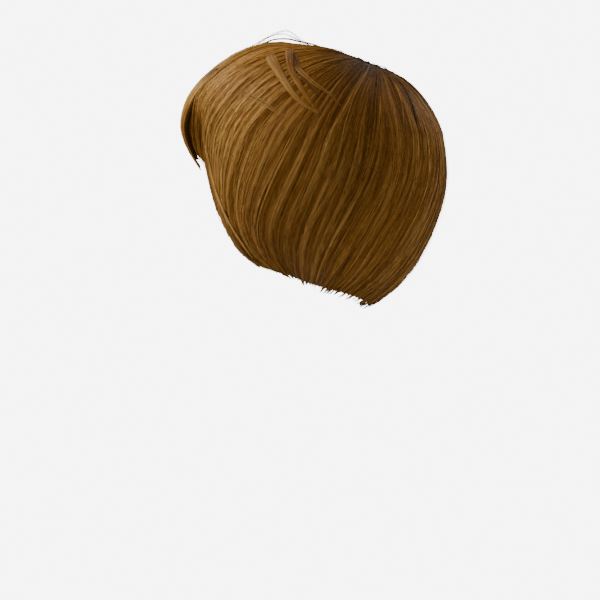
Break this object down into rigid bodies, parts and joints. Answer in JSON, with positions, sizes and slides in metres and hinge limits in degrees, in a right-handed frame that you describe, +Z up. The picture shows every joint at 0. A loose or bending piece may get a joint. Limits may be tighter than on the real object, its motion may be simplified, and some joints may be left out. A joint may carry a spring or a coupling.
{
  "type": "wig",
  "caption": "Short golden-brown bob wig: a net cap with an open hollow for the head and curved masses of straight hair swept out from a whorl.",
  "frame": {"origin": "the seat of the crown, the highest point inside the cap, where it rests on the top of the head", "axes": "+Z up, -Y the way the wearer faces, +X the wearer's left"},
  "size_m": [0.2198, 0.2724, 0.2639],
  "materials": {
    "golden_brown_fibre": "satin",
    "dark_root_fibre": "satin",
    "black_cap_net": "matte"
  },
  "bodies": {
    "root": {"cap": "black_cap_net", "crown_whorl": "dark_root_fibre", "fringe": "golden_brown_fibre", "fringe_outer_lock": "golden_brown_fibre", "left_temple_hair": "golden_brown_fibre", "left_side_hair": "golden_brown_fibre", "left_back_hair": "golden_brown_fibre", "right_back_hair": "golden_brown_fibre", "right_side_hair": "golden_brown_fibre", "right_temple_hair": "golden_brown_fibre", "nape_hair": "golden_brown_fibre"}
  },
  "joints": []
}
